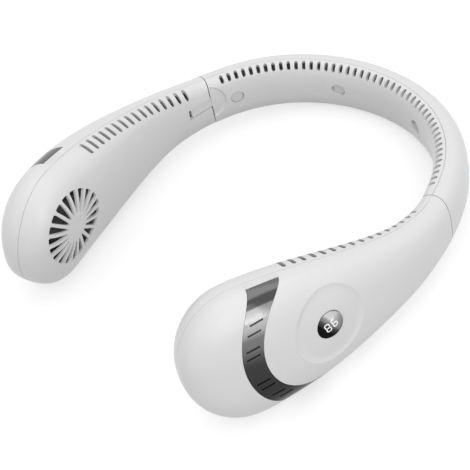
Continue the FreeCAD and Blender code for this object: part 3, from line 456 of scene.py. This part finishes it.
def bar_outline(centre, length, upright):
    """Pointed bar of a segment display, as flat corners with steps along both edges."""
    half, r = length / 2 - STROKE_GAP, STROKE / 2
    reach = half - r
    steps = [reach * (2 * i / STROKE_STEPS - 1) for i in range(STROKE_STEPS + 1)]
    ring = [(-half, 0)] + [(x, r) for x in steps] + [(half, 0)] + [(x, -r) for x in reversed(steps)]
    turned = [(-y, x) if upright else (x, y) for x, y in ring]
    return [(centre[0] + x, centre[1] + y) for x, y in turned]


def digit_frame():
    """Middle of the digits, the axis along the line that they stand on, and their upward axis."""
    up = Matrix.Rotation(math.radians(DIGIT_TURN), 3, lens_out) @ lens_up
    return (lens_low + lens_high) / 2 + up * DIGIT_RISE, up.cross(lens_out).normalized(), up


def build_digits():
    """Seven-segment digits laid on the dome."""
    middle, along, up = digit_frame()
    lens = nodes["display_lens"].data
    dome = BVHTree.FromPolygons([v.co for v in lens.vertices], [p.vertices for p in lens.polygons])
    bars = segment_bars()
    pitch = DIGIT_WIDTH + DIGIT_GAP
    bm = bmesh.new()
    for index, digit in enumerate(SHOWN):
        shift = (index - (len(SHOWN) - 1) / 2) * pitch
        for name in SEGMENTS[digit]:
            corners = []
            for x, y in bar_outline(*bars[name]):
                above = middle + along * (x + shift) + up * y + lens_out * RAY_START
                on_dome = dome.ray_cast(above, -lens_out)[0]
                corners.append(bm.verts.new(on_dome + lens_out * DIGIT_LIFT))
            bm.faces.new(corners)
    solid = bmesh.ops.extrude_face_region(bm, geom=list(bm.faces))
    moved = [g for g in solid["geom"] if isinstance(g, bmesh.types.BMVert)]
    bmesh.ops.translate(bm, verts=moved, vec=-lens_out * DIGIT_THICK)
    bmesh.ops.recalc_face_normals(bm, faces=bm.faces)
    mesh = bpy.data.meshes.new("display_digits")
    bm.to_mesh(mesh)
    bm.free()
    digits = bpy.data.objects.new("display_digits", mesh)
    bpy.context.scene.collection.objects.link(digits)
    mesh.materials.append(glowing("digit_white", DIGIT_COLOUR, DIGIT_GLOW))
    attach(digits, "display_button")


# Stage: pale floor, soft studio lights, camera

def shows_background(tree):
    """1 for the rays that show the background: camera, glossy and transmission rays."""
    path = add(tree, "ShaderNodeLightPath")
    shown = path.outputs["Is Camera Ray"]
    for kind in ("Is Glossy Ray", "Is Transmission Ray"):
        either = add(tree, "ShaderNodeMath", operation="MAXIMUM")
        tree.links.new(shown, either.inputs[0])
        tree.links.new(path.outputs[kind], either.inputs[1])
        shown = either.outputs["Value"]
    return shown


def floor_white():
    """Pale paper that is white where it is seen and sends back less light to the object."""
    mat, tree, shader = new_material("floor_white")
    shown = shows_background(tree)
    paper = varied(tree, noise(tree, object_coords(tree), FLOOR_GRAIN), *FLOOR_TONES)
    tree.links.new(mixed(tree, "RGBA", shown, FLOOR_BOUNCE, paper), shader.inputs["Base Color"])
    glow = add(tree, "ShaderNodeMath", operation="MULTIPLY")
    glow.inputs[1].default_value = FLOOR_GLOW
    tree.links.new(shown, glow.inputs[0])
    tree.links.new(glow.outputs["Value"], shader.inputs["Emission Strength"])
    shader.inputs["Emission Color"].default_value = WHITE
    shader.inputs["Roughness"].default_value = FLOOR_ROUGHNESS
    shader.inputs["Specular IOR Level"].default_value = FLOOR_SPECULAR
    return mat


def build_stage():
    """A wide pale floor that keeps the object's soft shadow."""
    bm = bmesh.new()
    bmesh.ops.create_grid(bm, x_segments=FLOOR_CELLS, y_segments=FLOOR_CELLS, size=FLOOR_HALF)
    mesh = bpy.data.meshes.new("floor")
    bm.to_mesh(mesh)
    bm.free()
    floor = bpy.data.objects.new("floor", mesh)
    bpy.context.scene.collection.objects.link(floor)
    floor.location.z = -FLOOR_DROP
    mesh.materials.append(floor_white())


def build_world():
    """White where it is seen, a softer grey surround for the light on the object."""
    world = bpy.data.worlds.new("studio")
    bpy.context.scene.world = world
    world.use_nodes = True
    tree = world.node_tree
    tree.nodes.clear()
    out = add(tree, "ShaderNodeOutputWorld")
    seen = add(tree, "ShaderNodeBackground")
    seen.inputs["Color"].default_value = WHITE
    seen.inputs["Strength"].default_value = 1.0
    lit = add(tree, "ShaderNodeBackground")
    parts = add(tree, "ShaderNodeSeparateXYZ")
    tree.links.new(add(tree, "ShaderNodeTexCoord").outputs["Generated"], parts.inputs["Vector"])
    tree.links.new(ramp(tree, parts.outputs["Z"], WORLD_LEVELS), lit.inputs["Color"])
    lit.inputs["Strength"].default_value = WORLD_LIGHT
    mix = add(tree, "ShaderNodeMixShader")
    tree.links.new(shows_background(tree), mix.inputs["Fac"])
    tree.links.new(lit.outputs["Background"], mix.inputs[1])
    tree.links.new(seen.outputs["Background"], mix.inputs[2])
    tree.links.new(mix.outputs["Shader"], out.inputs["Surface"])


def area_light(name, place, size, power):
    """A square softbox aimed at the object."""
    light = bpy.data.lights.new(name, "AREA")
    light.shape = "SQUARE"
    light.size = size
    light.energy = power
    lamp = bpy.data.objects.new(name, light)
    lamp.location = place
    lamp.rotation_euler = (Vector(LIGHT_AIM) - Vector(place)).to_track_quat("-Z", "Y").to_euler()
    bpy.context.scene.collection.objects.link(lamp)


def build_camera():
    """Camera at the photograph's place, with its tilt."""
    a, e, r = (math.radians(v) for v in (CAMERA_AZIMUTH, CAMERA_ELEVATION, CAMERA_ROLL))
    back = Vector((math.sin(a) * math.cos(e), -math.cos(a) * math.cos(e), math.sin(e)))
    right = Vector((math.cos(a), math.sin(a), 0.0))
    up = back.cross(right)
    aim = CAMERA_AIM + right * CAMERA_SHIFT_RIGHT + up * CAMERA_SHIFT_UP
    side = right * math.cos(r) + up * math.sin(r)
    top = up * math.cos(r) - right * math.sin(r)
    eye = aim + back * CAMERA_DISTANCE
    data = bpy.data.cameras.new("camera")
    data.lens = CAMERA_LENS
    data.sensor_width = CAMERA_SENSOR
    data.clip_start = CAMERA_NEAR
    camera = bpy.data.objects.new("camera", data)
    turn = Matrix((side, top, back)).transposed().to_4x4()
    camera.matrix_world = Matrix.Translation(eye) @ turn
    bpy.context.scene.collection.objects.link(camera)
    bpy.context.scene.camera = camera


build_digits()
build_stage()
build_world()
area_light("key", KEY_PLACE, KEY_SIZE, KEY_POWER)
area_light("front", FRONT_PLACE, FRONT_SIZE, FRONT_POWER)
build_camera()
bpy.context.scene.view_settings.view_transform = "Standard"
